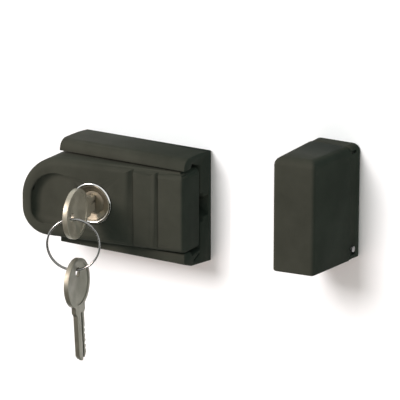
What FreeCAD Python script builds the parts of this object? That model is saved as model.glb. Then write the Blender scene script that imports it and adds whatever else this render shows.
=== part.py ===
import FreeCAD, Part
import math
import os

from FreeCAD import Vector

# Window security lock: a rail on the fixed frame carries a hand slide with a key
# cylinder, and a separate keeper takes the thrown slide. Millimetres. +X is the throw,
# +Y points into the wall and +Z is up. The origin is the middle of the rail's back face.

# Rail section, as depths in front of the wall; lip sizes count from the top and the bottom
rail_length = 62.8
rail_height = 49.5
rail_crown = 0.9
rail_depth = 22.2
web_thick = 8.9
top_round = 4.6
crown_peak = 15.0
crown_share = 0.75
lip_drop = 4.0
lip_back_depth = 16.8
cavity_drop = 2.15
cavity_depth = 15.6
cavity_fall = 2.5
low_lip_height = 8.35
low_lip_drop = 4.2
low_front_rise = 2.0
low_heel_depth = 16.3
low_cavity_height = 6.15
low_cavity_rise = 1.2
rail_back_round = 0.3

# Stepped groove in the web: the wide step clears the plug, the narrow one takes screw heads
groove_rise = 1.1
step_half = 6.5
step_floor = 6.4
slot_half = 4.5
slot_floor = 2.2

# Narrow slanted slot in the lower lip that holds a draught seal's edge
seal_slot_width = 0.9
seal_slot_length = 5.2
seal_slot_depth = 11.9
seal_slot_rise = 4.75
seal_slot_angle = 25.0

# Mounting screws of the rail and the keeper
screw_hole_r = 2.2
rail_screw_inset = 8.0
keeper_screw_spacing = 30.0

# Hand slide, whose face leans so that its left end stands further out
slide_left = -45.0
slide_top_gap = 0.65
slide_low_gap = 0.5
slide_back = 9.9
slide_front = 23.7
face_lean = 8.0
left_round_top = 19.5
left_flat = 4.5
face_round = 3.6
end_round = 1.3
cover_wall = 2.2
throw = 13.5

# Thumb scoop in the slide's left end
scoop_inset = 6.0
scoop_depth = 3.0
scoop_run = 20.0
scoop_sag = 0.65
scoop_round = 3.4

# Grip grooves across the slide's face, given by their sharp right edges
grip_edges = (8.75, 20.2)
grip_width = 4.7
grip_depth = 1.5
grip_swell = 0.25
groove_over = 1.0
grip_wall = 1.5

# Guide carriage behind the slide's face
carriage_left = -29.0
carriage_right = 15.5
carriage_thick = 2.2
guide_clearance = 0.3
guide_wall = 2.6
carriage_screw_inset = 3.6
carriage_screw_r = 1.5
carriage_screw_head_r = 2.7
carriage_screw_length = 9.0
boss_r = 3.0
boss_from_edge = 5.4

# Nylon pads in the carriage that rub on the web
pad_r = 1.8
pad_xs = (-16.0, 3.5)
pad_high = 12.2
pad_low = -14.3
pad_gap = 0.05
pad_seat = 1.2

# Plate that closes the slide's left end from behind
back_plate_thick = 1.4
back_plate_fit = 0.1

# Hardened block in the slide's right end, with two loose rods against sawing
insert_gap = 0.8
insert_back = 1.2
saw_rod_r = 2.5
saw_rod_fit = 0.1
saw_rod_apart = 16.0
saw_rod_short = 2.0
insert_screw_r = 1.25

# Stop pin in the rail, which runs in a slot of the carriage
stop_pin_r = 1.5
stop_pin_x = 6.0
stop_pin_z = -10.4
stop_pin_seat = 4.4
stop_clearance = 0.15

# Key cylinder, which stands square on the slide's leaning face
cylinder_x = -10.3
rim_proud = 0.8
rim_r = 9.2
rim_bore_r = 7.9
rim_thick = 1.8
rim_edge_round = 0.6
rim_seat_fit = 0.1
barrel_mouth = 0.9
barrel_r = 8.0
barrel_fit = 0.05
barrel_end = 16.2
dish_land = 0.5
nut_from = 12.9
nut_r = 10.4
nut_short = 0.8
nut_seat_wall = 1.0
plug_r = 5.0
plug_fit = 0.06
plug_end = 22.8
clip_thick = 0.8
clip_r = 6.4
clip_groove_r = 4.3
clip_open = 3.4
carriage_hole_r = 7.4
plug_dish = 2.2
tail_r = 3.9
tail_from = 19.4
cam_thick = 2.0
cam_half_width = 3.2
cam_reach = 8.0
cam_clearance = 0.35
cam_screw_r = 1.3
cam_screw_head_r = 2.6
cam_screw_head = 1.2
cam_screw_gap = 0.3
wafer_count = 6
wafer_thick = 1.1
wafer_pitch = 1.9
wafer_first = 4.0
wafer_width = 5.2
wafer_fit = 0.02

# Keys
bow_r = 10.8
bow_thick = 2.1
bow_rim = 1.5
bow_recess = 0.35
bow_hole_r = 2.1
bow_hole_out = 5.0
blade_length = 23.7
blade_width = 6.6
blade_thick = 2.0
blade_fit = 0.08
blade_tip_half = 0.9
blade_tip_run = 2.6
bow_from_rim = 4.5
shoulder_half = 4.6
shoulder_run = 1.6
key_cuts = ((4.6, 0.7), (6.9, 1.1), (9.2, 0.5), (11.5, 0.9), (13.8, 0.6))
key_cut_half = 0.9
flute_deep = 0.55
flute_wide = 1.3
flute_from = 2.4
flute_offset = 0.9

# Key ring of round wire in two turns that lie side by side
ring_r = 11.2
ring_wire_r = 0.4
ring_pitch = 0.68
ring_end_gap = 0.5
ring_end_angles = (35.0, 62.0)
ring_hang_gap = 0.8
ring_tilt = 6.0
ring_turn_angle = 18.0
spare_tilt = 2.5

# Keeper, whose face leans like the slide's and whose right side draws in towards it
keeper_left = 60.1
keeper_width = 23.0
keeper_front = -2.5
keeper_depth = 36.5
keeper_rise = 33.0
keeper_over = 5.7
keeper_face_fall = 2.2
keeper_draft_right = 3.9
keeper_draft = 0.3
keeper_base_thick = 7.5
keeper_wall = 2.0
keeper_round = 3.8
keeper_side_round = 2.0
keeper_low_round = 0.8
base_inset = 0.3
base_notch = 1.2
base_notch_high = 3.6
base_notch_low = 2.2
mouth_clearance = 0.9
plate_thick = 1.6
plate_fit = 0.2
plate_from_top = 2.9
plate_window = 0.3
plate_foot = 12.0
plate_foot_half = 11.0
striker_screw_r = 1.25
striker_screw_apart = 14.0
striker_screw_deep = 3.5
shim_thick = 2.5
set_screw_r = 1.3
set_screw_rise = 5.0
set_screw_length = 5.0
set_screw_proud = 0.2

# How near two places must be to count as one when edges are picked, and how far a cutter overruns
near = 0.01
overrun = 1.0

# Worked out from the values above
half_rail = rail_length / 2
rail_top = rail_height / 2
rail_bottom = -rail_height / 2
lip_bottom = rail_top - lip_drop
top_cavity = rail_top - cavity_drop
low_lip_top = rail_bottom + low_lip_height
low_cavity = rail_bottom + low_cavity_height
screw_x = half_rail - rail_screw_inset
slide_top = lip_bottom - slide_top_gap
slide_bottom = low_lip_top + slide_low_gap
slide_right = half_rail
slide_middle = (slide_top + slide_bottom) / 2
left_round_low = slide_top - slide_bottom - left_round_top - left_flat
face_rad = math.radians(face_lean)
face_slope = math.tan(face_rad)
keeper_back = keeper_front - keeper_depth
keeper_right = keeper_left + keeper_width
keeper_top = slide_top + keeper_over
keeper_bottom = -keeper_top
keeper_height = keeper_top - keeper_bottom
base_front = keeper_back + keeper_base_thick
base_back = keeper_back + shim_thick
plate_left = keeper_left + keeper_wall + plate_fit
plate_half = keeper_top - plate_from_top
ring_drop = bow_hole_r - ring_wire_r - ring_hang_gap


def face_at(x):
    """Depth of the slide's leaning face at a place along the throw."""
    return slide_front + face_slope * (slide_right - x)


rim_front = face_at(cylinder_x) + rim_proud


def point(x, depth, z):
    """A point given by its depth in front of the wall."""
    return Vector(x, -depth, z)


def section(points, x_from, x_to):
    """A prism along X of an outline in depths and heights."""
    corners = [point(x_from, d, z) for d, z in points]
    face = Part.Face(Part.makePolygon(corners + corners[:1]))
    return face.extrude(Vector(x_to - x_from, 0, 0))


def block(x0, x1, d0, d1, z0, z1):
    """A box between two X values, two depths and two heights."""
    return Part.makeBox(x1 - x0, d1 - d0, z1 - z0, point(x0, d1, z0))


def rod(r, x, z, d0, d1):
    """A round bar across the wall between two depths."""
    return Part.makeCylinder(r, d1 - d0, point(x, d1, z), Vector(0, 1, 0))


def tube_local(r, s0, s1):
    """A round bar on the cylinder's axis between two distances behind the rim's face."""
    return Part.makeCylinder(r, s1 - s0, Vector(0, s0, 0), Vector(0, 1, 0))


def to_lock(shape):
    """Move a shape from the cylinder's own axis to its leaning place in the slide."""
    placed = shape.copy()
    placed.rotate(Vector(0, 0, 0), Vector(0, 0, 1), face_lean)
    placed.translate(point(cylinder_x, rim_front, slide_middle))
    return placed


def export(shape, name):
    """Write one piece to its own file."""
    shape.exportStep("parts/" + name + ".step")


# Rail
def rail_section():
    """The extruded rail: web, crowned and curled top lip and heavy lower lip."""
    peak = (crown_peak, rail_top + rail_crown)
    centre = (rail_depth - top_round, rail_top + rail_crown - top_round)
    k = math.sqrt(0.5)
    curl = Part.Arc(point(0, centre[0], peak[1]),
                    point(0, centre[0] + k * top_round, centre[1] + k * top_round),
                    point(0, rail_depth, centre[1]))
    crown_mid = (crown_peak / 2, rail_top + rail_crown * crown_share)
    crown = Part.Arc(point(0, *peak), point(0, *crown_mid), point(0, rail_back_round, rail_top))
    corners = [
        (rail_depth, centre[1]),
        (rail_depth, lip_bottom),
        (lip_back_depth, lip_bottom),
        (cavity_depth, top_cavity),
        (web_thick, top_cavity - cavity_fall),
        (web_thick, low_cavity + low_cavity_rise),
        (cavity_depth, low_cavity),
        (lip_back_depth, low_lip_top),
        (rail_depth, low_lip_top),
        (rail_depth, low_lip_top - low_lip_drop),
        (low_heel_depth, rail_bottom + low_front_rise),
        (rail_back_round, rail_bottom),
        (0, rail_bottom + rail_back_round),
        (0, rail_top - rail_back_round),
        (rail_back_round, rail_top),
    ]
    edges = [curl.toShape()]
    for a, b in zip(corners, corners[1:]):
        edges.append(Part.LineSegment(point(0, *a), point(0, *b)).toShape())
    edges.append(crown.toShape())
    edges.append(Part.LineSegment(point(0, *peak), point(0, centre[0], peak[1])).toShape())
    face = Part.Face(Part.Wire(Part.__sortEdges__(edges)))
    face.translate(Vector(-half_rail, 0, 0))
    return face.extrude(Vector(rail_length, 0, 0))


def cam_floor():
    """Depth that clears the lowest point of the leaning cam."""
    back = rim_front - (plug_end + cam_thick) * math.cos(face_rad)
    return back - cam_reach * math.sin(face_rad) - cam_clearance


def cam_pocket(x):
    """Pocket beside the groove that the turned cam enters; its left wall blocks the slide."""
    reach = cam_reach + 2 * cam_clearance
    floor = cam_floor()
    disc = rod(reach, x, slide_middle, floor, web_thick)
    side = cam_half_width + cam_clearance
    return disc.common(block(x - side, x + reach, floor, web_thick, groove_rise, slide_middle + reach))


def build_rail():
    """The rail with its groove, screw holes, cam pockets and stop pin's hole."""
    rail = rail_section()
    for floor, top, half in ((step_floor, web_thick, step_half), (slot_floor, step_floor, slot_half)):
        rail = rail.cut(block(-half_rail, half_rail, floor, top, groove_rise - half, groove_rise + half))
    for side in (-1, 1):
        rail = rail.cut(rod(screw_hole_r, side * screw_x, groove_rise, 0, slot_floor))
    cam_x = cylinder_x - (plug_end + cam_thick / 2) * math.sin(face_rad)
    for x in (cam_x, cam_x + throw):
        rail = rail.cut(cam_pocket(x))
    seal = block(-half_rail, half_rail, -seal_slot_length / 2, seal_slot_length / 2,
                 -seal_slot_width / 2, seal_slot_width / 2)
    seal.rotate(Vector(0, 0, 0), Vector(1, 0, 0), seal_slot_angle)
    seal.translate(point(0, seal_slot_depth, rail_bottom + seal_slot_rise))
    rail = rail.cut(seal)
    return rail.cut(rod(stop_pin_r, stop_pin_x, stop_pin_z, stop_pin_seat, web_thick))


# Slide
def slide_outline(inset):
    """The slide's front outline, drawn in by an inset: square right end, rounded left end."""
    left, right = slide_left + inset, slide_right - inset
    top, low = slide_top - inset, slide_bottom + inset
    r_top, r_low = left_round_top - inset, left_round_low - inset
    c_top = (left + r_top, top - r_top)
    c_low = (left + r_low, low + r_low)
    k = math.sqrt(0.5)
    edges = [
        Part.LineSegment(Vector(right, 0, top), Vector(c_top[0], 0, top)),
        Part.Arc(Vector(c_top[0], 0, top),
                 Vector(c_top[0] - r_top * k, 0, c_top[1] + r_top * k), Vector(left, 0, c_top[1])),
        Part.LineSegment(Vector(left, 0, c_top[1]), Vector(left, 0, c_low[1])),
        Part.Arc(Vector(left, 0, c_low[1]),
                 Vector(c_low[0] - r_low * k, 0, c_low[1] - r_low * k), Vector(c_low[0], 0, low)),
        Part.LineSegment(Vector(c_low[0], 0, low), Vector(right, 0, low)),
        Part.LineSegment(Vector(right, 0, low), Vector(right, 0, top)),
    ]
    return Part.Face(Part.Wire([e.toShape() for e in edges]))


def slide_prism(inset, d0, d1):
    """The slide's outline between two depths."""
    face = slide_outline(inset)
    face.translate(Vector(0, -d0, 0))
    return face.extrude(Vector(0, -(d1 - d0), 0))


def over_face(behind):
    """All the space in front of a plane that lies behind the leaning face by a distance."""
    left, right = slide_left - 2 * throw, slide_right + 2 * throw
    far = face_at(left) + face_at(slide_left)
    corners = [(left, face_at(left) - behind), (right, face_at(right) - behind), (right, far), (left, far)]
    points = [point(x, d, 2 * slide_bottom) for x, d in corners]
    face = Part.Face(Part.makePolygon(points + points[:1]))
    return face.extrude(Vector(0, 0, 2 * slide_top - 2 * slide_bottom))


def over_scoop():
    """All the space in front of the scoop's floor, which rises to the face at the right."""
    right = slide_left + scoop_inset + scoop_run
    deep = face_at(slide_left + scoop_inset) - scoop_depth
    chord = math.hypot(right - slide_left, face_at(right) - deep)
    sag = Vector((face_at(right) - deep) / chord, (right - slide_left) / chord, 0) * scoop_sag
    mid = point((slide_left + right) / 2, (deep + face_at(right)) / 2, 0) + sag
    far = face_at(slide_left) + scoop_depth
    corners = [point(right, face_at(right), 0), point(right, far, 0), point(slide_left, far, 0),
               point(slide_left, deep, 0)]
    edges = [Part.Arc(corners[3], mid, corners[0]).toShape()]
    for p, q in zip(corners, corners[1:]):
        edges.append(Part.LineSegment(p, q).toShape())
    face = Part.Face(Part.Wire(Part.__sortEdges__(edges)))
    face.translate(Vector(0, 0, 2 * slide_bottom))
    return face.extrude(Vector(0, 0, 2 * slide_top - 2 * slide_bottom)), mid + Vector(0, 0, slide_middle)


def thumb_scoop():
    """The scoop inside its rim, with the edges of its floor rounded."""
    space, floor_point = over_scoop()
    scoop = space.common(slide_prism(scoop_inset, slide_back, face_at(slide_left) + scoop_depth))
    spot = Part.Vertex(floor_point)
    floor = min(scoop.Faces, key=lambda face: face.distToShape(spot)[0])
    run_out = slide_left + scoop_inset + scoop_run
    edges = [e for e in floor.Edges if e.BoundBox.XMin < run_out - near]
    return scoop.makeFillet(scoop_round, edges)


def grip_groove(x_edge):
    """One grip groove: it falls gently from the left to a sharp step at the right."""
    x_start = x_edge - grip_width
    top, floor = face_at(x_start), face_at(x_edge) - grip_depth
    mid = point((x_start + x_edge) / 2, (top + floor) / 2 + grip_swell, 0)
    over = face_at(x_start) + groove_over
    a, b = point(x_start, top, 0), point(x_edge, floor, 0)
    c, e = point(x_edge, over, 0), point(x_start, over, 0)
    edges = [Part.Arc(a, mid, b).toShape()]
    for p, q in ((b, c), (c, e), (e, a)):
        edges.append(Part.LineSegment(p, q).toShape())
    face = Part.Face(Part.Wire(edges))
    face.translate(Vector(0, 0, 2 * slide_bottom))
    return face.extrude(Vector(0, 0, 2 * slide_top - 2 * slide_bottom))


def carriage_section(top_gap):
    """The carriage across the throw: a plate with an edge hooked behind each lip."""
    slope = cavity_fall / (cavity_depth - web_thick)
    low_slope = low_cavity_rise / (cavity_depth - web_thick)
    hook = cavity_depth - guide_clearance
    plate = slide_back + carriage_thick
    roof = top_cavity - top_gap
    floor = low_cavity + top_gap
    return [
        (slide_back, roof - slope * (cavity_depth - slide_back)),
        (hook, roof - slope * (cavity_depth - hook)),
        (hook, slide_top - guide_wall),
        (plate, slide_top - guide_wall),
        (plate, slide_bottom + guide_wall),
        (hook, slide_bottom + guide_wall),
        (hook, floor + low_slope * (cavity_depth - hook)),
        (slide_back, floor + low_slope * (cavity_depth - slide_back)),
    ]


def carriage_prism(top_gap):
    """The carriage's whole outer form, without its holes."""
    return section(carriage_section(top_gap), carriage_left, carriage_right)


def screw_places():
    """Where the four carriage screws stand, as X and Z."""
    xs = (carriage_left + carriage_screw_inset, carriage_right - carriage_screw_inset)
    zs = (slide_top - boss_from_edge, slide_bottom + boss_from_edge)
    return [(x, z) for x in xs for z in zs]


def round_cover(body):
    """Round the cover's face all round, its right end tightly and that end's top widely."""
    rim = []
    for edge in body.Edges:
        spots = [edge.valueAt(edge.FirstParameter), edge.valueAt(edge.LastParameter)]
        in_face = all(abs(-p.y - face_at(p.x)) < near for p in spots)
        if in_face and edge.BoundBox.XMin < slide_right - near:
            rim.append(edge)
    body = body.makeFillet(face_round, rim)
    end = [e for e in body.Edges if e.BoundBox.XMin > slide_right - near
           and e.BoundBox.ZLength > slide_top - slide_bottom - 2 * face_round - near
           and e.BoundBox.YMax < -slide_back - near]
    body = body.makeFillet(end_round, end)
    corner = block(slide_right - face_round, slide_right + face_round, 0, 2 * slide_front,
                   slide_top - face_round, slide_top + face_round)
    return body.cut(corner.cut(rod(face_round, slide_right - face_round, slide_top - face_round,
                                   0, 2 * slide_front)))


def under_grips():
    """The grip grooves moved back by the metal that is left behind them."""
    grooves = [grip_groove(x_edge) for x_edge in grip_edges]
    for groove in grooves:
        groove.translate(Vector(0, grip_wall, 0))
    return Part.makeCompound(grooves)


def build_slide_cover():
    """The cast cover: leaning face, thumb scoop, grips, walls, bosses and cylinder seat."""
    far = face_at(slide_left) + cover_wall
    body = round_cover(slide_prism(0, slide_back, far).cut(over_face(0)))
    body = body.cut(thumb_scoop())
    for x_edge in grip_edges:
        body = body.cut(grip_groove(x_edge))
    under = over_scoop()[0]
    under.translate(Vector(0, cover_wall, 0))
    hollow = slide_prism(cover_wall, slide_back, far).cut(over_face(cover_wall)).cut(under)
    hollow = hollow.cut(under_grips())
    seat = to_lock(tube_local(nut_r + nut_seat_wall, rim_thick, nut_from))
    for x, z in screw_places():
        seat = seat.fuse(rod(boss_r, x, z, slide_back + carriage_thick, far))
    body = body.cut(hollow.cut(seat))
    body = body.cut(to_lock(tube_local(rim_r + rim_seat_fit, 0, rim_thick)))
    body = body.cut(to_lock(tube_local(barrel_r + barrel_fit, 0, plug_end)))
    body = body.cut(insert_screw())
    for x, z in screw_places():
        body = body.cut(rod(carriage_screw_r, x, z, slide_back, slide_back + carriage_screw_length))
    return body.cut(carriage_prism(guide_clearance)).removeSplitter()


def screw_head(x, z):
    """The countersunk head of one carriage screw."""
    return Part.makeCone(carriage_screw_head_r, carriage_screw_r, carriage_screw_head_r - carriage_screw_r,
                         point(x, slide_back, z), Vector(0, -1, 0))


def build_carriage():
    """Guide carriage with the stop slot, the plug's opening and countersunk screw holes."""
    plate = carriage_prism(guide_clearance)
    reach = stop_pin_r + stop_clearance
    slot = block(stop_pin_x - throw, stop_pin_x, slide_back, slide_back + carriage_thick,
                 stop_pin_z - reach, stop_pin_z + reach)
    for x in (stop_pin_x - throw, stop_pin_x):
        slot = slot.fuse(rod(reach, x, stop_pin_z, slide_back, slide_back + carriage_thick))
    plate = plate.cut(slot)
    plate = plate.cut(to_lock(tube_local(carriage_hole_r, barrel_end, plug_end)))
    plate = plate.cut(friction_pads())
    for x, z in screw_places():
        plate = plate.cut(rod(carriage_screw_r, x, z, slide_back, slide_back + carriage_thick))
        plate = plate.cut(screw_head(x, z))
    return plate


def build_carriage_screws():
    """Four countersunk screws, as separate solids of one group."""
    screws = []
    for x, z in screw_places():
        shank = rod(carriage_screw_r, x, z, slide_back, slide_back + carriage_screw_length)
        screws.append(shank.fuse(screw_head(x, z)).removeSplitter())
    return Part.makeCompound(screws)


def insert_middle():
    """The middle of the hardened block along the throw."""
    return (carriage_right + insert_gap + slide_right - cover_wall) / 2


def saw_rod(z_side, r):
    """One loose rod's place in the hardened block."""
    z = slide_middle + z_side * saw_rod_apart / 2
    return rod(r, insert_middle(), z, slide_back + insert_back, slide_front - cover_wall - saw_rod_short)


def insert_screw():
    """The screw that holds the hardened block to the cover's face."""
    x = insert_middle()
    return rod(insert_screw_r, x, slide_middle, slide_back + insert_back, face_at(x) - cover_wall / 2)


def build_bolt_insert():
    """Hardened steel block that fills the slide's right end."""
    left = carriage_right + insert_gap
    right = slide_right - cover_wall
    top, low = slide_top - cover_wall, slide_bottom + cover_wall
    insert = block(left, right, slide_back + insert_back, face_at(left), low, top).cut(over_face(cover_wall))
    for side in (-1, 1):
        insert = insert.cut(saw_rod(side, saw_rod_r + saw_rod_fit))
    return insert.cut(under_grips()).cut(insert_screw())


def build_back_plate():
    """Plate in the open back of the slide's left end, beside the carriage."""
    plate = slide_prism(cover_wall + back_plate_fit, slide_back, slide_back + back_plate_thick)
    right = carriage_left - back_plate_fit
    return plate.common(block(slide_left, right, 0, slide_front, slide_bottom, slide_top))


def friction_pads():
    """Four nylon pads between the carriage and the web, as separate solids."""
    pads = []
    for x in pad_xs:
        for z in (pad_high, pad_low):
            pads.append(rod(pad_r, x, z, web_thick + pad_gap, slide_back + pad_seat))
    return Part.makeCompound(pads)


# Cylinder
def build_rim():
    """Polished rim ring, rounded on its face."""
    ring = tube_local(rim_r, 0, rim_thick).cut(tube_local(rim_bore_r, 0, rim_thick))
    edges = [e for e in ring.Edges if abs(e.BoundBox.YMin) < near and abs(e.BoundBox.YMax) < near]
    return to_lock(ring.makeFillet(rim_edge_round, edges))


def build_barrel():
    """Fixed barrel that the plug turns in, with a dished mouth inside the rim."""
    barrel = tube_local(barrel_r, rim_thick, barrel_end).fuse(tube_local(rim_bore_r, barrel_mouth, rim_thick))
    dish = Part.makeCone(rim_bore_r - dish_land, plug_r, plug_dish - barrel_mouth,
                         Vector(0, barrel_mouth, 0), Vector(0, 1, 0))
    barrel = barrel.cut(dish).cut(tube_local(plug_r + plug_fit, 0, barrel_end))
    return to_lock(barrel.removeSplitter())


def build_barrel_nut():
    """Thin hexagon nut that clamps the barrel in the cover."""
    corners = []
    for i in range(6):
        angle = math.radians(60 * i + 30)
        corners.append(Vector(nut_r * math.cos(angle), nut_from, nut_r * math.sin(angle)))
    nut = Part.Face(Part.makePolygon(corners + corners[:1]))
    nut = nut.extrude(Vector(0, barrel_end - nut_from - nut_short, 0))
    return to_lock(nut.cut(tube_local(barrel_r, nut_from, barrel_end)))


def blade_slot(fit):
    """The space of the key's blade along the plug, grown by a fit."""
    half_t, half_w = blade_thick / 2 + fit, blade_width / 2 + fit
    tip = blade_length - bow_from_rim + fit
    return Part.makeBox(2 * half_t, tip + overrun, 2 * half_w, Vector(-half_t, -overrun, -half_w))


def build_plug():
    """Turning plug with its keyway, wafer slots and narrower tail."""
    plug = tube_local(plug_r, plug_dish, tail_from).fuse(tube_local(tail_r, tail_from, plug_end))
    plug = plug.cut(blade_slot(blade_fit))
    for i in range(wafer_count):
        plug = plug.cut(wafer_blank(i, 0.0))
    plug = plug.cut(tube_local(cam_screw_r, blade_length - bow_from_rim + blade_fit, plug_end))
    plug = plug.cut(clip_blank(plug_r + overrun))
    return to_lock(plug.removeSplitter())


def clip_blank(r):
    """The ring of space that the clip takes round the plug."""
    s0 = barrel_end + plug_fit
    return tube_local(r, s0, s0 + clip_thick).cut(tube_local(clip_groove_r, s0, s0 + clip_thick))


def build_plug_clip():
    """Spring clip in the plug's groove behind the barrel, open on one side."""
    clip = clip_blank(clip_r)
    gap = Part.makeBox(clip_r, 2 * clip_thick, 2 * clip_open, Vector(0, barrel_end, -clip_open))
    return to_lock(clip.cut(gap))


def wafer_blank(i, fit):
    """One wafer's outer block."""
    s0 = wafer_first + i * wafer_pitch
    half_x = wafer_width / 2
    half_z = math.sqrt(plug_r ** 2 - half_x ** 2) - wafer_fit
    return Part.makeBox(wafer_width - 2 * fit, wafer_thick - 2 * fit, 2 * half_z,
                        Vector(-half_x + fit, s0 + fit, -half_z))


def build_wafers():
    """Flat wafers across the plug, each with a window for the blade."""
    wafers = [wafer_blank(i, wafer_fit).cut(blade_slot(blade_fit)) for i in range(wafer_count)]
    return to_lock(Part.makeCompound(wafers))


def build_cam():
    """Locking cam on the plug's tail; it lies along the groove and turns up into a pocket."""
    cam = tube_local(cam_half_width, plug_end, plug_end + cam_thick)
    bar = Part.makeBox(cam_reach - cam_half_width, cam_thick, 2 * cam_half_width,
                       Vector(0, plug_end, -cam_half_width))
    tip = tube_local(cam_half_width, plug_end, plug_end + cam_thick)
    tip.translate(Vector(cam_reach - cam_half_width, 0, 0))
    cam = cam.fuse(bar).fuse(tip).cut(tube_local(cam_screw_r, plug_end, plug_end + cam_thick))
    return to_lock(cam.removeSplitter())


def build_cam_screw():
    """Pan-head screw that holds the cam on the plug."""
    s0 = plug_end + cam_thick
    screw = tube_local(cam_screw_r, blade_length - bow_from_rim + cam_screw_gap, s0)
    return to_lock(screw.fuse(tube_local(cam_screw_head_r, s0, s0 + cam_screw_head)).removeSplitter())


# Keys and ring
def key_shape():
    """One key with its blade along +Y and its bow's far side at negative Y; flat in YZ."""
    centre = Vector(-bow_thick / 2, -(bow_from_rim + bow_r), 0)
    bow = Part.makeCylinder(bow_r, bow_thick, centre, Vector(1, 0, 0))
    neck_y, tip_y, half = -bow_from_rim, blade_length - bow_from_rim, blade_width / 2
    outline = [(neck_y - bow_r, shoulder_half), (neck_y + shoulder_run, shoulder_half),
               (neck_y + 2 * shoulder_run, half)]
    for y, deep in reversed(key_cuts):
        outline.append((tip_y - y - key_cut_half, half))
        outline.append((tip_y - y, half - deep))
        outline.append((tip_y - y + key_cut_half, half))
    outline += [(tip_y - blade_tip_run, half), (tip_y, blade_tip_half), (tip_y, -blade_tip_half),
                (tip_y - blade_tip_run, -half), (neck_y + 2 * shoulder_run, -half),
                (neck_y + shoulder_run, -shoulder_half), (neck_y - bow_r, -shoulder_half)]
    corners = [Vector(-blade_thick / 2, y, z) for y, z in outline]
    blade = Part.Face(Part.makePolygon(corners + corners[:1])).extrude(Vector(blade_thick, 0, 0))
    key = bow.fuse(blade)
    dish = Part.makeCylinder(bow_r - bow_rim, bow_recess, Vector(0, centre.y, 0), Vector(1, 0, 0))
    for x in (bow_thick / 2 - bow_recess, -bow_thick / 2):
        cut = dish.copy()
        cut.translate(Vector(x, 0, 0))
        key = key.cut(cut)
    for side in (-1, 1):
        x = side * (blade_thick - flute_deep) / 2 - flute_deep / 2
        z = side * flute_offset - flute_wide / 2
        key = key.cut(Part.makeBox(flute_deep, blade_length, flute_wide, Vector(x, neck_y + flute_from, z)))
    hole = Part.makeCylinder(bow_hole_r, bow_thick, Vector(-bow_thick / 2, hole_y(), 0), Vector(1, 0, 0))
    return key.cut(hole).removeSplitter()


def hole_y():
    """Where the key's hole lies on the cylinder's axis."""
    return -(bow_from_rim + bow_r + bow_hole_out)


def hang_tilt(shape, spot, tilt, turn):
    """Turn a hanging piece about the point it hangs from."""
    shape.rotate(spot, Vector(0, 0, 1), turn)
    shape.rotate(spot, Vector(0, 1, 0), -tilt)


def ring_bottom():
    """The point of the ring's wire that carries the spare key."""
    fall = 2 * ring_r
    tilt = math.radians(ring_tilt)
    return Vector(fall * math.sin(tilt), hole_y(), -ring_drop - fall * math.cos(tilt))


def build_ring():
    """Split key ring: two turns of wire pressed side by side, each with its end's gap."""
    half = ring_pitch / 2
    waist = math.sqrt(ring_wire_r ** 2 - half ** 2)
    outer, inner = Vector(ring_r + waist, 0, 0), Vector(ring_r - waist, 0, 0)
    turns = []
    for side in (-1, 1):
        far = Vector(ring_r, side * (half + ring_wire_r), 0)
        turns.append(Part.Arc(outer, far, inner).toShape())
    ring = Part.Face(Part.Wire(turns)).revolve(Vector(0, 0, 0), Vector(0, 1, 0), 360)
    for side, angle in zip((-1, 1), ring_end_angles):
        low = min(0, side * 2 * ring_wire_r)
        gap = Part.makeBox(4 * ring_wire_r, 2 * ring_wire_r, ring_end_gap,
                           Vector(ring_r - 2 * ring_wire_r, low, -ring_end_gap / 2))
        gap.rotate(Vector(0, 0, 0), Vector(0, 1, 0), angle)
        ring = ring.cut(gap)
    spot = Vector(0, hole_y(), -ring_drop)
    ring.translate(spot - Vector(0, 0, ring_r))
    hang_tilt(ring, spot, ring_tilt, ring_turn_angle)
    return to_lock(ring)


def build_spare_key():
    """The same key, hanging tip down from the bottom of the ring."""
    key = key_shape()
    key.translate(Vector(0, -hole_y(), 0))
    key.rotate(Vector(0, 0, 0), Vector(1, 0, 0), -90)
    spot = ring_bottom()
    key.translate(spot - Vector(0, 0, ring_drop))
    hang_tilt(key, spot, spare_tilt, 0)
    return to_lock(key)


# Keeper
def keeper_form(inset, d0, d1):
    """The keeper's drafted form, drawn in by an inset, between two depths."""
    back, front = keeper_back, keeper_front - inset
    left, right = keeper_left + inset, keeper_right - inset
    plan = [point(left, back, 0), point(left, front, 0),
            point(right - keeper_draft_right, front - keeper_face_fall, 0), point(right, back, 0)]
    sides = Part.Face(Part.makePolygon(plan + plan[:1]))
    sides.translate(Vector(0, 0, keeper_bottom))
    half_back, half_front = keeper_top - inset, keeper_top - inset - keeper_draft
    ends = section([(front, half_front), (back, half_back), (back, -half_back), (front, -half_front)],
                   keeper_left, keeper_right)
    form = ends.common(sides.extrude(Vector(0, 0, keeper_height)))
    return form.common(block(keeper_left, keeper_right, d0, d1, keeper_bottom, keeper_top))


def edges_near(shape, depth_run, high, low):
    """Edges that run along the depth for a length, with their middles between two heights."""
    found = []
    for edge in shape.Edges:
        middle = edge.valueAt((edge.FirstParameter + edge.LastParameter) / 2)
        if edge.BoundBox.YLength > depth_run and low < middle.z < high:
            found.append(edge)
    return found


def mouth_limits(grow):
    """The mouth's two depths and two heights, from the thrown slide's end with clearance."""
    reach = mouth_clearance + grow
    back = slide_back - keeper_rise - reach
    front = face_at(slide_right - throw) - keeper_rise + reach
    return back, front, slide_bottom - reach, slide_top + reach


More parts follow.
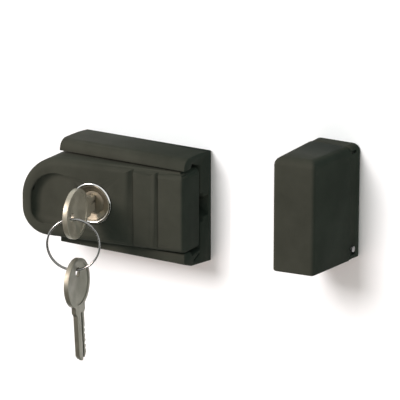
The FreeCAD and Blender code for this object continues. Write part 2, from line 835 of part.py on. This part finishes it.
def build_keeper_cover():
    """The keeper's cap: a drafted shell with soft edges and the mouth at its left."""
    cap = keeper_form(0, base_front, keeper_front)
    long_run = (keeper_front - base_front) / 2
    top_edges = edges_near(cap, long_run, keeper_height, 0)
    for edge in cap.Edges:
        box = edge.BoundBox
        if box.XLength > keeper_width / 2 and box.YMax < -base_front - long_run and box.ZMin > 0:
            top_edges.append(edge)
    cap = cap.makeFillet(keeper_round, top_edges)
    upright = [e for e in cap.Edges if e.BoundBox.ZLength > keeper_height / 2
               and e.BoundBox.YMax < -base_front - long_run]
    cap = cap.makeFillet(keeper_side_round, upright)
    low_edges = edges_near(cap, long_run, 0, -keeper_height)
    cap = cap.makeFillet(keeper_low_round, low_edges)
    cap = cap.cut(keeper_form(keeper_wall, base_front, keeper_front))
    back, front, low, top = mouth_limits(0)
    return cap.cut(block(keeper_left, plate_left, back, front, low, top))


def keeper_screw_rods(d0, d1):
    """The two mounting holes between two depths."""
    middle = (keeper_left + keeper_right) / 2
    rods = [rod(screw_hole_r, middle, side * keeper_screw_spacing / 2, d0, d1) for side in (-1, 1)]
    return Part.makeCompound(rods)


def keeper_slab(d0, d1):
    """A slab of the keeper's form with its edges rounded as the cap's are, and its screw holes."""
    slab = keeper_form(base_inset, d0, d1)
    run = (d1 - d0) - near
    slab = slab.makeFillet(keeper_round - base_inset, edges_near(slab, run, keeper_height, 0))
    slab = slab.makeFillet(keeper_low_round - base_inset, edges_near(slab, run, 0, -keeper_height))
    return slab.cut(keeper_screw_rods(d0, d1))


def build_keeper_base():
    """Base block on the window: screw holes, side notches and set screw's hole."""
    base = keeper_slab(base_back, base_front)
    x0 = keeper_right - base_inset - base_notch
    for z in (keeper_top - base_notch_high, keeper_bottom + base_notch_low):
        base = base.cut(block(x0, keeper_right, base_back, base_front - base_notch, z, z + base_notch))
    for side in (-1, 1):
        base = base.cut(striker_screw(side))
    return base.cut(set_screw(0))


def set_screw(proud):
    """A bar along X low in the base's right side."""
    start = point(keeper_right - base_inset - set_screw_length, (base_back + base_front) / 2,
                  keeper_bottom + set_screw_rise)
    return Part.makeCylinder(set_screw_r, set_screw_length + proud, start, Vector(1, 0, 0))


def striker_screw(side):
    """One screw's place through the striker's foot into the base."""
    x = plate_left + (plate_foot + plate_thick) / 2
    z = side * striker_screw_apart / 2
    return rod(striker_screw_r, x, z, base_front - striker_screw_deep, base_front + plate_thick)


def build_striker_screws():
    """Two screws of the striker's foot with low heads, as separate solids."""
    screws = []
    for side in (-1, 1):
        shank = striker_screw(side)
        middle = shank.BoundBox.Center
        head = rod(2 * striker_screw_r, middle.x, middle.z,
                   base_front + plate_thick, base_front + 2 * plate_thick)
        screws.append(shank.fuse(head).removeSplitter())
    return Part.makeCompound(screws)


def build_striker():
    """Bent steel striker: an upright with the slide's opening and a foot on the base."""
    right = plate_left + plate_thick
    plate = block(plate_left, right, base_front, keeper_front, -plate_half, plate_half)
    plate = plate.common(keeper_form(keeper_wall + plate_fit, base_front, keeper_front))
    back, front, low, top = mouth_limits(plate_window)
    plate = plate.cut(block(plate_left, right, back, front, low, top))
    foot = block(plate_left, plate_left + plate_foot, base_front, base_front + plate_thick,
                 -plate_foot_half, plate_foot_half)
    striker = plate.fuse(foot)
    for side in (-1, 1):
        striker = striker.cut(striker_screw(side))
    return striker.removeSplitter()


def main():
    """Build and write every piece."""
    os.makedirs("parts", exist_ok=True)
    export(build_rail(), "rail_body")
    pin = rod(stop_pin_r, stop_pin_x, stop_pin_z, stop_pin_seat, slide_back + carriage_thick)
    export(pin, "stop_pin")
    export(build_slide_cover(), "slide_cover")
    export(build_carriage(), "guide_carriage")
    export(build_carriage_screws(), "carriage_screws")
    export(build_bolt_insert(), "bolt_insert")
    export(Part.makeCompound([saw_rod(side, saw_rod_r) for side in (-1, 1)]), "saw_rods")
    export(insert_screw(), "insert_screw")
    export(build_back_plate(), "slide_back_plate")
    export(friction_pads(), "friction_pads")
    export(build_rim(), "cylinder_rim")
    export(build_barrel(), "cylinder_barrel")
    export(build_barrel_nut(), "barrel_nut")
    export(build_plug(), "plug")
    export(build_wafers(), "wafers")
    export(build_plug_clip(), "plug_clip")
    export(build_cam(), "locking_cam")
    export(build_cam_screw(), "cam_screw")
    export(to_lock(key_shape()), "lock_key")
    export(build_ring(), "key_ring")
    export(build_spare_key(), "spare_key")
    export(build_keeper_cover(), "keeper_cover")
    export(build_keeper_base(), "keeper_base")
    export(keeper_slab(keeper_back, base_back), "keeper_shim")
    export(build_striker(), "striker_plate")
    export(build_striker_screws(), "striker_screws")
    export(set_screw(set_screw_proud), "keeper_set_screw")


main()
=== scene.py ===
import math

import bmesh
import bpy
from mathutils import Matrix, Vector


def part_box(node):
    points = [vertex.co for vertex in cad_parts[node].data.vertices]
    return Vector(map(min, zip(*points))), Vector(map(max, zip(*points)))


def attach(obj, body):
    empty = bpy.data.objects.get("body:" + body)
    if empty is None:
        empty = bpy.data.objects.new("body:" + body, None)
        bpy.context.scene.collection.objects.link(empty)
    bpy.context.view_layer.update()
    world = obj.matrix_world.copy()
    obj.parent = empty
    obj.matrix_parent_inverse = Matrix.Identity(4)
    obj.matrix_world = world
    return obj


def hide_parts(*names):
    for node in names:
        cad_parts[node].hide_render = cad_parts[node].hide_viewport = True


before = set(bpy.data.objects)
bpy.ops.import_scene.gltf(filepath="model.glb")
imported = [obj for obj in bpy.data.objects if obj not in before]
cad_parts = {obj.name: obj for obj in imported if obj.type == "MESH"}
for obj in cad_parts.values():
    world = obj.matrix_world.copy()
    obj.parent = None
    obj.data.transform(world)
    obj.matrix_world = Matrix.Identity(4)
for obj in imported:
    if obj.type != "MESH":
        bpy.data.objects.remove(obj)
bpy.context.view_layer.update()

MM = 0.001

# Hand slide: its leaning face, where the scoop and the grips lie, and how broadly their edges are rounded
LEAN = math.radians(8.0)
SLIDE_FRONT = 23.7 * MM
SLIDE_RIGHT = 31.4 * MM
SCOOP_RIGHT = -28.0 * MM
SCOOP_FADE = 8.0 * MM
GRIPS_LEFT = 3.0 * MM
FACE_FIT = 0.04 * MM
FACE_CREASE = math.radians(12.0)
SCOOP_ROUND = 1.1 * MM
GRIP_SHARE = 0.5

# Split ring: how it hangs, then its winding, whose two turns cross over along a short part of the wire
RING_TURN = math.radians(18.0)
RING_TILT = math.radians(6.0)
RING_START = math.radians(-20.0)
RING_RADIUS = 11.2 * MM
RING_WIRE = 0.45 * MM
RING_PITCH = 0.68 * MM
RING_TURNS = 1.86
RING_CROSSING = 0.036
TURN_STEPS = 90
WIRE_SIDES = 14

# Cleaning of meshes: gaps that are merged, and the angle under which faces count as flat
MERGE_GAP = 0.002 * MM
FLAT_ANGLE = math.radians(0.4)
SLIVER_GAP = 0.012 * MM
SPECK_GAP = 0.003 * MM

# Easing, in degrees: edges sharper than this are eased, and shading breaks at a slightly larger angle
EASE_ANGLE = 28.0
SLIDE_EASE_ANGLE = 24.0
SHADE_MARGIN = 8.0
EASE_STEPS = 3
SLIDE_EASE_STEPS = 4
ROUND_STEPS = 5

# Surfaces: the parts of a noise's range over which tones and values move, noise scales and relief depths
TONE_RANGE = (0.35, 0.65)
VALUE_RANGE = (0.3, 0.7)
COAT_CLOUDS = 60.0
COAT_SHEEN = 0.02
GRAIN_DEPTH = 0.02 * MM
METAL_SMEARS = 180.0
MARK_DEPTH = 0.01 * MM
NYLON_CLOUDS = 400.0

# Camera: a long lens from the lock's right and a little above
VIEW_AZIMUTH = math.radians(31.0)
VIEW_ELEVATION = math.radians(17.5)
VIEW_DISTANCE = 1.27
VIEW_TARGET = Vector((25.95, 0.0, 1.5)) * MM
LENS = 265.5
SENSOR = 36.0
CLIP_NEAR = 0.05
CLIP_FAR = 20.0

# Stage: a wall behind the lock, a deeper one behind the keeper, a floor, and a card that only metal mirrors
WALL_GAP = 0.6 * MM
WALL_LEFT = -0.3
WALL_TOP = 0.25
LOCK_WALL_RIGHT = 41 * MM
KEEPER_WALL_RIGHT = 0.35
FLOOR_LEVEL = -0.25
FLOOR_REACH = 2.0
CARD_REACH = 1.5
CARD_BACK = -0.02
CARD_RISE = 0.02

# Light levels, places and sizes
WORLD_LIGHT = 0.52
KEY_POWER = 18.2
KEY_PLACE = (-0.52, -0.9, 0.58)
KEY_SIZE = 0.4
BACKDROP_POWER = 20.6
BACKDROP_PLACE = (-0.27, -1.1, 0.68)
BACKDROP_SIZE = 0.5
LAMP_AIM = (0.02, 0.0, 0.0)
GLINT_POWER = 8.5
GLINT_PLACE = (1.1, -0.25, 0.3)
GLINT_SIZE = 0.3
GLINT_AIM = (0.0, -0.04, 0.0)

# Colours: warm light, slightly green shade, rosy shadows on the backdrop, a pale floor and a dark card
KEY_WARM = (1.0, 0.81, 0.75)
SHADE_GREEN = (0.75, 1.0, 0.93)
BACKDROP_WHITE = (0.84, 0.735, 0.75)
BACKDROP_LAMP = (0.9, 1.0, 0.99)
BACKDROP_GLOW = 0.05
FLOOR_WHITE = (0.8, 0.78, 0.78)
FLOOR_GLOW = 0.8
FELT = (0.03, 0.027, 0.02)


# Node helpers
def calculated(tree, operation, first, second):
    """A number worked out in a node tree from two numbers or sockets."""
    node = tree.nodes.new("ShaderNodeMath")
    node.operation = operation
    for socket, value in zip(node.inputs, (first, second)):
        if isinstance(value, float):
            socket.default_value = value
        else:
            tree.links.new(value, socket)
    return node.outputs[0]


def mixed(tree, factor, first, second):
    """Two shaders mixed by a factor."""
    node = tree.nodes.new("ShaderNodeMixShader")
    for socket, source in zip(node.inputs, (factor, first, second)):
        tree.links.new(source, socket)
    return node.outputs[0]


def new_material(name):
    """An empty node material with its shader and output."""
    mat = bpy.data.materials.new(name)
    mat.use_nodes = True
    nodes = mat.node_tree.nodes
    nodes.clear()
    out = nodes.new("ShaderNodeOutputMaterial")
    shader = nodes.new("ShaderNodeBsdfPrincipled")
    mat.node_tree.links.new(shader.outputs["BSDF"], out.inputs["Surface"])
    return mat, shader


def object_noise(mat, scale, detail=4.0, rough=0.6, stretch=(1, 1, 1)):
    """Noise on object coordinates, in features per metre, stretched by axis."""
    nodes, links = mat.node_tree.nodes, mat.node_tree.links
    coords = nodes.new("ShaderNodeTexCoord")
    mapping = nodes.new("ShaderNodeMapping")
    mapping.inputs["Scale"].default_value = stretch
    noise = nodes.new("ShaderNodeTexNoise")
    noise.inputs["Scale"].default_value = scale
    noise.inputs["Detail"].default_value = detail
    noise.inputs["Roughness"].default_value = rough
    links.new(coords.outputs["Object"], mapping.inputs["Vector"])
    links.new(mapping.outputs["Vector"], noise.inputs["Vector"])
    return noise.outputs["Fac"]


def two_tone(mat, factor, dark, light):
    """A colour that moves between two tones over the middle of a noise."""
    ramp = mat.node_tree.nodes.new("ShaderNodeValToRGB")
    for stop, position, tone in zip(ramp.color_ramp.elements, TONE_RANGE, (dark, light)):
        stop.position = position
        stop.color = (*tone, 1)
    mat.node_tree.links.new(factor, ramp.inputs["Fac"])
    return ramp.outputs["Color"]


def spread(mat, factor, low, high):
    """A number that moves between two values over the middle of a noise."""
    node = mat.node_tree.nodes.new("ShaderNodeMapRange")
    node.inputs["From Min"].default_value = VALUE_RANGE[0]
    node.inputs["From Max"].default_value = VALUE_RANGE[1]
    node.inputs["To Min"].default_value = low
    node.inputs["To Max"].default_value = high
    mat.node_tree.links.new(factor, node.inputs["Value"])
    return node.outputs["Result"]


def bump(mat, shader, heights, strength, distance):
    """A fine bump from a noise."""
    node = mat.node_tree.nodes.new("ShaderNodeBump")
    node.inputs["Strength"].default_value = strength
    node.inputs["Distance"].default_value = distance
    mat.node_tree.links.new(heights, node.inputs["Height"])
    mat.node_tree.links.new(node.outputs["Normal"], shader.inputs["Normal"])


# Finishes
def satin_coat(name, colour, grain, roughness, relief):
    """Dark stoved coat: slightly uneven tone, fine grain and a soft sheen."""
    mat, shader = new_material(name)
    links = mat.node_tree.links
    cloud = object_noise(mat, COAT_CLOUDS, detail=3.0)
    tone = two_tone(mat, cloud, [c * 0.9 for c in colour], [c * 1.1 for c in colour])
    links.new(tone, shader.inputs["Base Color"])
    fine = object_noise(mat, grain, detail=2.0, rough=0.5)
    links.new(spread(mat, fine, roughness - 0.05, roughness + 0.06), shader.inputs["Roughness"])
    shader.inputs["Specular IOR Level"].default_value = COAT_SHEEN
    bump(mat, shader, fine, relief, GRAIN_DEPTH)
    return mat


def plated_metal(name, colour, roughness, brushed=(1, 1, 1), scratch=900.0, relief=0.12, metallic=1.0):
    """Plated metal with faint polishing marks and an uneven sheen."""
    mat, shader = new_material(name)
    links = mat.node_tree.links
    shader.inputs["Metallic"].default_value = metallic
    marks = object_noise(mat, scratch, detail=5.0, rough=0.65, stretch=brushed)
    tone = two_tone(mat, marks, [c * 0.88 for c in colour], colour)
    links.new(tone, shader.inputs["Base Color"])
    smear = object_noise(mat, METAL_SMEARS, detail=3.0)
    links.new(spread(mat, smear, roughness * 0.8, roughness * 1.3), shader.inputs["Roughness"])
    bump(mat, shader, marks, relief, MARK_DEPTH)
    return mat


def moulded_nylon():
    """Milky nylon of the pads."""
    mat, shader = new_material("milky_nylon")
    cloud = object_noise(mat, NYLON_CLOUDS, detail=3.0)
    tone = two_tone(mat, cloud, (0.62, 0.62, 0.58), (0.72, 0.72, 0.68))
    mat.node_tree.links.new(tone, shader.inputs["Base Color"])
    shader.inputs["Roughness"].default_value = 0.5
    shader.inputs["Subsurface Weight"].default_value = 0.1
    return mat


# Every finish by name; rail and slide share a colour, and both keys the same polish. The keys' nickel comes
# as a lighter and a darker copy of one metal: painted light on the standing key and painted shade on the
# spare, for how the light falls on each
COAT = (0.0375, 0.0405, 0.0335)
KEY_POLISH = {"brushed": (1, 1, 0.12), "scratch": 2600.0, "relief": 0.2, "metallic": 0.75}
finish = {
    "rail_coat": satin_coat("rail_coat", COAT, 5200.0, 0.6, 0.25),
    "slide_coat": satin_coat("slide_coat", COAT, 5200.0, 0.6, 0.25),
    "keeper_plastic": satin_coat("keeper_plastic", (0.037, 0.0395, 0.0325), 4200.0, 0.58, 0.2),
    "rim_chrome": plated_metal("rim_chrome", (0.86, 0.86, 0.84), 0.07, relief=0.03),
    # Dull plated metal of the cylinder face, its colour darkened below its own tone: painted shade for the
    # dark surroundings it mirrors
    "dish_metal_shaded": plated_metal("dish_metal_shaded", (0.27, 0.255, 0.2), 0.5, relief=0.05),
    # The standing key's nickel is a lighter copy (painted light), the spare's a darker copy of the same metal
    # (painted shade)
    "key_nickel": plated_metal("key_nickel", (0.34, 0.336, 0.277), 0.42, **KEY_POLISH),
    "spare_metal_shaded": plated_metal("spare_metal_shaded", (0.24, 0.237, 0.195), 0.42, **KEY_POLISH),
    "wire_steel": plated_metal("wire_steel", (0.32, 0.32, 0.31), 0.16, relief=0.04),
    "zinc_plate": plated_metal("zinc_plate", (0.72, 0.72, 0.7), 0.3, (0.2, 1, 1), 1200.0),
    "hard_steel": plated_metal("hard_steel", (0.42, 0.42, 0.43), 0.38, (1, 0.2, 1), 1500.0),
    "cast_zinc": plated_metal("cast_zinc", (0.55, 0.55, 0.54), 0.48, scratch=700.0, relief=0.3),
    "wafer_brass": plated_metal("wafer_brass", (0.78, 0.58, 0.3), 0.28, (1, 1, 0.2), 1600.0),
    "milky_nylon": moulded_nylon(),
}

# Small inner nodes that show their CAD mesh, by finish
PAINTED = {
    "zinc_plate": ("stop_pin", "carriage_screws", "insert_screw", "plug_clip", "cam_screw", "striker_screws"),
    "hard_steel": ("bolt_insert", "saw_rods", "locking_cam", "keeper_set_screw"),
    "wafer_brass": ("barrel_nut", "wafers"),
    "keeper_plastic": ("slide_back_plate",),
    "milky_nylon": ("friction_pads",),
}


# Mesh helpers
def merged_copy(node):
    """A merged copy of a CAD node's mesh with its flat faces joined."""
    bm = bmesh.new()
    bm.from_mesh(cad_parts[node].data)
    bmesh.ops.remove_doubles(bm, verts=bm.verts, dist=MERGE_GAP)
    bmesh.ops.dissolve_limit(bm, angle_limit=FLAT_ANGLE, verts=bm.verts, edges=bm.edges,
                             use_dissolve_boundaries=False)
    return bm


def make_plain(obj, name):
    """Applies an object's modifiers to its mesh and removes them."""
    graph = bpy.context.evaluated_depsgraph_get()
    mesh = bpy.data.meshes.new_from_object(obj.evaluated_get(graph))
    mesh.name = name
    obj.modifiers.clear()
    obj.data = mesh


def weld_slivers(mesh):
    """Merges corners that the easing left almost in one place, and splits the faces into triangles."""
    bm = bmesh.new()
    bm.from_mesh(mesh)
    bmesh.ops.remove_doubles(bm, verts=bm.verts, dist=SLIVER_GAP)
    bmesh.ops.dissolve_degenerate(bm, edges=bm.edges, dist=SPECK_GAP)
    bmesh.ops.triangulate(bm, faces=bm.faces)
    bm.to_mesh(mesh)
    bm.free()


def face_depth(x):
    """How far the slide's leaning face stands out at a place along the throw."""
    return SLIDE_FRONT + math.tan(LEAN) * (SLIDE_RIGHT - x)


def weigh_face_edges(bm):
    """Marks the scoop's rim, less towards its shallow end, and the grips' edges for a broad rounding."""
    weight = bm.edges.layers.float.new("bevel_weight_edge")
    for edge in bm.edges:
        spots = [v.co for v in edge.verts]
        in_face = all(abs(-p.y - face_depth(p.x)) < FACE_FIT for p in spots)
        if not in_face or len(edge.link_faces) != 2 or edge.calc_face_angle() < FACE_CREASE:
            continue
        far = max(p.x for p in spots)
        if far < SCOOP_RIGHT:
            edge[weight] = min(1.0, (SCOOP_RIGHT - far) / SCOOP_FADE)
        elif min(p.x for p in spots) > GRIPS_LEFT:
            edge[weight] = GRIP_SHARE


def softened(node, name, body, material, width, sharp=EASE_ANGLE, steps=EASE_STEPS, broad_width=0.0):
    """Stands for a CAD node with its sharp edges eased and its round faces smooth."""
    bm = merged_copy(node)
    if broad_width:
        weigh_face_edges(bm)
    mesh = bpy.data.meshes.new(name)
    bm.to_mesh(mesh)
    bm.free()
    mesh.materials.clear()
    mesh.materials.append(finish[material])
    mesh.shade_smooth()
    obj = bpy.data.objects.new(name, mesh)
    bpy.context.scene.collection.objects.link(obj)
    if broad_width:
        broad = obj.modifiers.new("broad", "BEVEL")
        broad.width = broad_width
        broad.segments = ROUND_STEPS
        broad.limit_method = "WEIGHT"
        broad.use_clamp_overlap = False
    ease = obj.modifiers.new("ease", "BEVEL")
    ease.width = width
    ease.segments = steps
    ease.limit_method = "ANGLE"
    ease.angle_limit = math.radians(sharp)
    ease.use_clamp_overlap = True
    ease.miter_outer = "MITER_ARC"
    make_plain(obj, name)
    if not broad_width:
        weld_slivers(obj.data)
    obj.data.shade_smooth()
    obj.data.set_sharp_from_angle(angle=math.radians(sharp + SHADE_MARGIN))
    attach(obj, body)
    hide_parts(node)


# Key ring
def ring_tree():
    """Node tree: a round wire wound on a level circle, whose turns cross over halfway."""
    tree = bpy.data.node_groups.new("wound_wire", "GeometryNodeTree")
    face = tree.interface
    for label in ("Ring radius", "Wire radius", "Pitch", "Turns", "Crossing"):
        face.new_socket(name=label, in_out="INPUT", socket_type="NodeSocketFloat")
    face.new_socket(name="Metal", in_out="INPUT", socket_type="NodeSocketMaterial")
    face.new_socket(name="Geometry", in_out="OUTPUT", socket_type="NodeSocketGeometry")
    nodes, links = tree.nodes, tree.links
    given = nodes.new("NodeGroupInput")
    result = nodes.new("NodeGroupOutput")
    spiral = nodes.new("GeometryNodeCurveSpiral")
    spiral.inputs["Resolution"].default_value = TURN_STEPS
    spiral.inputs["Height"].default_value = 0.0
    links.new(given.outputs["Turns"], spiral.inputs["Rotations"])
    links.new(given.outputs["Ring radius"], spiral.inputs["Start Radius"])
    links.new(given.outputs["Ring radius"], spiral.inputs["End Radius"])
    along = nodes.new("GeometryNodeSplineParameter")
    step = nodes.new("ShaderNodeMapRange")
    step.interpolation_type = "SMOOTHSTEP"
    step.inputs["To Min"].default_value = -0.5
    step.inputs["To Max"].default_value = 0.5
    links.new(along.outputs["Factor"], step.inputs["Value"])
    links.new(calculated(tree, "SUBTRACT", 0.5, given.outputs["Crossing"]), step.inputs["From Min"])
    links.new(calculated(tree, "ADD", 0.5, given.outputs["Crossing"]), step.inputs["From Max"])
    aside = calculated(tree, "MULTIPLY", step.outputs["Result"], given.outputs["Pitch"])
    offset = nodes.new("ShaderNodeCombineXYZ")
    links.new(aside, offset.inputs["Z"])
    crossed = nodes.new("GeometryNodeSetPosition")
    links.new(spiral.outputs["Curve"], crossed.inputs["Geometry"])
    links.new(offset.outputs["Vector"], crossed.inputs["Offset"])
    circle = nodes.new("GeometryNodeCurvePrimitiveCircle")
    circle.inputs["Resolution"].default_value = WIRE_SIDES
    links.new(given.outputs["Wire radius"], circle.inputs["Radius"])
    sweep = nodes.new("GeometryNodeCurveToMesh")
    sweep.inputs["Fill Caps"].default_value = True
    links.new(crossed.outputs["Geometry"], sweep.inputs["Curve"])
    links.new(circle.outputs["Curve"], sweep.inputs["Profile Curve"])
    smooth = nodes.new("GeometryNodeSetShadeSmooth")
    links.new(sweep.outputs["Mesh"], smooth.inputs["Geometry"])
    real = nodes.new("GeometryNodeRealizeInstances")
    links.new(smooth.outputs["Geometry"], real.inputs["Geometry"])
    metal = nodes.new("GeometryNodeSetMaterial")
    links.new(real.outputs["Geometry"], metal.inputs["Geometry"])
    links.new(given.outputs["Metal"], metal.inputs["Material"])
    links.new(metal.outputs["Geometry"], result.inputs["Geometry"])
    return tree


def hang_split_ring():
    """The split key ring, wound from wire where the CAD ring hangs."""
    obj = bpy.data.objects.new("split_ring", bpy.data.meshes.new("split_ring"))
    bpy.context.scene.collection.objects.link(obj)
    winding = obj.modifiers.new("winding", "NODES")
    winding.node_group = ring_tree()
    sizes = {"Ring radius": RING_RADIUS, "Wire radius": RING_WIRE, "Pitch": RING_PITCH, "Turns": RING_TURNS,
             "Crossing": RING_CROSSING, "Metal": finish["wire_steel"]}
    for item in winding.node_group.interface.items_tree:
        if item.in_out == "INPUT":
            winding[item.identifier] = sizes[item.name]
    make_plain(obj, "split_ring")
    low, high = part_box("key_ring")
    upright = Matrix.Rotation(math.radians(90), 4, "X") @ Matrix.Rotation(RING_START, 4, "Z")
    turned = Matrix.Rotation(-RING_TILT, 4, "Y") @ Matrix.Rotation(RING_TURN, 4, "Z")
    hang = Matrix.Translation((low + high) / 2) @ Matrix.Rotation(LEAN, 4, "Z") @ turned
    obj.data.transform(hang @ upright)
    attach(obj, "ring")
    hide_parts("key_ring")


# Pieces
def dress_lock():
    """The lock's pieces in sight, with their eased edges, and the ring."""
    softened("rail_body", "rail", "rail", "rail_coat", 0.35 * MM)
    softened("slide_cover", "hand_slide", "slide", "slide_coat", 0.4 * MM, sharp=SLIDE_EASE_ANGLE,
             steps=SLIDE_EASE_STEPS, broad_width=SCOOP_ROUND)
    softened("cylinder_rim", "rim_ring", "slide", "rim_chrome", 0.45 * MM)
    # Barrel face and plug take the darkened plated metal, painted shade of the dark surroundings they mirror
    softened("cylinder_barrel", "barrel_face", "slide", "dish_metal_shaded", 0.1 * MM)
    softened("plug", "plug_body", "plug", "dish_metal_shaded", 0.06 * MM)
    # The two keys take the lighter and the darker copy of one nickel: painted light and painted shade
    softened("lock_key", "standing_key", "key", "key_nickel", 0.18 * MM)
    softened("spare_key", "hanging_key", "spare", "spare_metal_shaded", 0.18 * MM)
    softened("guide_carriage", "carriage", "slide", "cast_zinc", 0.2 * MM)
    hang_split_ring()


def dress_keeper():
    """The keeper's cap, base and plates."""
    softened("keeper_cover", "keeper_cap", "keeper", "keeper_plastic", 0.35 * MM)
    softened("keeper_base", "keeper_block", "keeper", "keeper_plastic", 0.25 * MM)
    softened("keeper_shim", "packing_plate", "keeper", "keeper_plastic", 0.2 * MM)
    softened("striker_plate", "striker", "keeper", "zinc_plate", 0.15 * MM)


def paint_small_parts():
    """The small inner nodes get their finishes."""
    for material, names in PAINTED.items():
        for name in names:
            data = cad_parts[name].data
            data.materials.clear()
            data.materials.append(finish[material])


# Stage
def shown_white(tree):
    """One for the camera's, mirrored and refracted rays, which see the white studio, else nought."""
    path = tree.nodes.new("ShaderNodeLightPath")
    mirrored = calculated(tree, "MAXIMUM", path.outputs["Is Glossy Ray"], path.outputs["Is Transmission Ray"])
    return calculated(tree, "MAXIMUM", path.outputs["Is Camera Ray"], mirrored)


def seen_white(name, colour, glow, one_sided):
    """Backdrop that takes soft shadows and looks white; it may vanish from behind."""
    mat = bpy.data.materials.new(name)
    mat.use_nodes = True
    tree = mat.node_tree
    nodes, links = tree.nodes, tree.links
    nodes.clear()
    out = nodes.new("ShaderNodeOutputMaterial")
    diffuse = nodes.new("ShaderNodeBsdfDiffuse")
    diffuse.inputs["Color"].default_value = (*colour, 1)
    light = nodes.new("ShaderNodeEmission")
    links.new(calculated(tree, "MULTIPLY", shown_white(tree), glow), light.inputs["Strength"])
    both = nodes.new("ShaderNodeAddShader")
    links.new(diffuse.outputs[0], both.inputs[0])
    links.new(light.outputs[0], both.inputs[1])
    last = both.outputs[0]
    if one_sided:
        side = nodes.new("ShaderNodeNewGeometry")
        clear = nodes.new("ShaderNodeBsdfTransparent")
        last = mixed(tree, side.outputs["Backfacing"], last, clear.outputs[0])
    links.new(last, out.inputs["Surface"])
    return mat


def dark_felt():
    """Dull dark felt of the card that only the metal mirrors."""
    mat, shader = new_material("dark_felt")
    shader.inputs["Base Color"].default_value = (*FELT, 1)
    shader.inputs["Roughness"].default_value = 1.0
    shader.inputs["Specular IOR Level"].default_value = 0.0
    return mat


def panel(name, corners, material):
    """A flat stage panel."""
    mesh = bpy.data.meshes.new(name)
    mesh.from_pydata(corners, [], [list(range(len(corners)))])
    mesh.materials.append(material)
    obj = bpy.data.objects.new(name, mesh)
    bpy.context.scene.collection.objects.link(obj)
    return obj


def wall_panel(name, right, depth, material):
    """An upright wall that no bounced light reaches."""
    obj = panel(name, [(WALL_LEFT, depth, -WALL_TOP), (right, depth, -WALL_TOP), (right, depth, WALL_TOP),
                       (WALL_LEFT, depth, WALL_TOP)], material)
    obj.visible_diffuse = False
    return obj


def level_panel(name, reach, back, height, material):
    """A level panel that reaches equally far to the left, right and front, and ends at a place behind."""
    return panel(name, [(-reach, -reach, height), (reach, -reach, height), (reach, back, height),
                        (-reach, back, height)], material)


def build_stage():
    """A wall close behind the lock and one behind the keeper, a pale floor, and the dark card on it."""
    white = seen_white("wall_white", BACKDROP_WHITE, BACKDROP_GLOW, True)
    keeper_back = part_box("keeper_shim")[1].y
    lock_wall = wall_panel("lock_wall", LOCK_WALL_RIGHT, WALL_GAP, white)
    lock_wall.visible_shadow = False
    wall_panel("keeper_wall", KEEPER_WALL_RIGHT, keeper_back + WALL_GAP, white)
    floor = seen_white("floor_white", FLOOR_WHITE, FLOOR_GLOW, False)
    level_panel("floor", FLOOR_REACH, FLOOR_REACH, FLOOR_LEVEL, floor)
    card = level_panel("dark_card", CARD_REACH, CARD_BACK, FLOOR_LEVEL + CARD_RISE, dark_felt())
    card.visible_camera = False
    card.visible_diffuse = False
    card.visible_shadow = False


# Light and camera
def area_light(name, place, target, size, power, colour):
    """A square lamp that looks at a point."""
    lamp = bpy.data.lights.new(name, "AREA")
    lamp.shape = "SQUARE"
    lamp.size = size
    lamp.energy = power
    lamp.color = colour
    obj = bpy.data.objects.new(name, lamp)
    bpy.context.scene.collection.objects.link(obj)
    obj.location = place
    obj.rotation_mode = "QUATERNION"
    obj.rotation_quaternion = (Vector(target) - Vector(place)).to_track_quat("-Z", "Y")
    return obj


def linked(name, objects, state):
    """A list of objects that a lamp takes in, or leaves out."""
    group = bpy.data.collections.new(name)
    for obj in objects:
        group.objects.link(bpy.data.objects[obj])
    for link in group.collection_objects:
        link.light_linking.link_state = state
    return group


def build_world():
    """An even, slightly green surround that looks white."""
    world = bpy.data.worlds.new("studio")
    bpy.context.scene.world = world
    world.use_nodes = True
    tree = world.node_tree
    tree.nodes.clear()
    out = tree.nodes.new("ShaderNodeOutputWorld")
    sky = tree.nodes.new("ShaderNodeBackground")
    sky.inputs["Color"].default_value = (*SHADE_GREEN, 1)
    sky.inputs["Strength"].default_value = WORLD_LIGHT
    white = tree.nodes.new("ShaderNodeBackground")
    white.inputs["Color"].default_value = (1, 1, 1, 1)
    either = mixed(tree, shown_white(tree), sky.outputs[0], white.outputs[0])
    tree.links.new(either, out.inputs["Surface"])


def build_lamps():
    """Warm light from the upper left front, a lamp for each wall, and a glint on the standing key's edge."""
    key = area_light("key_light", KEY_PLACE, LAMP_AIM, KEY_SIZE, KEY_POWER, KEY_WARM)
    walls = {
        "lock_wall": ("rail", "hand_slide"),
        "keeper_wall": ("keeper_cap", "keeper_block", "packing_plate"),
    }
    key.light_linking.receiver_collection = linked("key_light_reach", walls, "EXCLUDE")
    for wall, shapes in walls.items():
        lamp = area_light(wall + "_light", BACKDROP_PLACE, LAMP_AIM, BACKDROP_SIZE, BACKDROP_POWER,
                          BACKDROP_LAMP)
        lamp.light_linking.receiver_collection = linked(wall + "_reach", (wall,), "INCLUDE")
        lamp.light_linking.blocker_collection = linked(wall + "_shadows", shapes, "INCLUDE")
    glint = area_light("glint_light", GLINT_PLACE, GLINT_AIM, GLINT_SIZE, GLINT_POWER, KEY_WARM)
    glint.light_linking.receiver_collection = linked("glint_reach", ("standing_key",), "INCLUDE")


def build_camera():
    """The camera at the photograph's angle."""
    data = bpy.data.cameras.new("camera")
    data.lens = LENS
    data.sensor_width = SENSOR
    data.clip_start = CLIP_NEAR
    data.clip_end = CLIP_FAR
    cam = bpy.data.objects.new("camera", data)
    bpy.context.scene.collection.objects.link(cam)
    level = math.cos(VIEW_ELEVATION)
    back = Vector((math.sin(VIEW_AZIMUTH) * level, -math.cos(VIEW_AZIMUTH) * level, math.sin(VIEW_ELEVATION)))
    cam.location = VIEW_TARGET + back * VIEW_DISTANCE
    cam.rotation_mode = "QUATERNION"
    cam.rotation_quaternion = (-back).to_track_quat("-Z", "Y")
    bpy.context.scene.camera = cam


dress_lock()
dress_keeper()
paint_small_parts()
build_stage()
build_world()
build_lamps()
build_camera()
bpy.context.scene.view_settings.view_transform = "Standard"
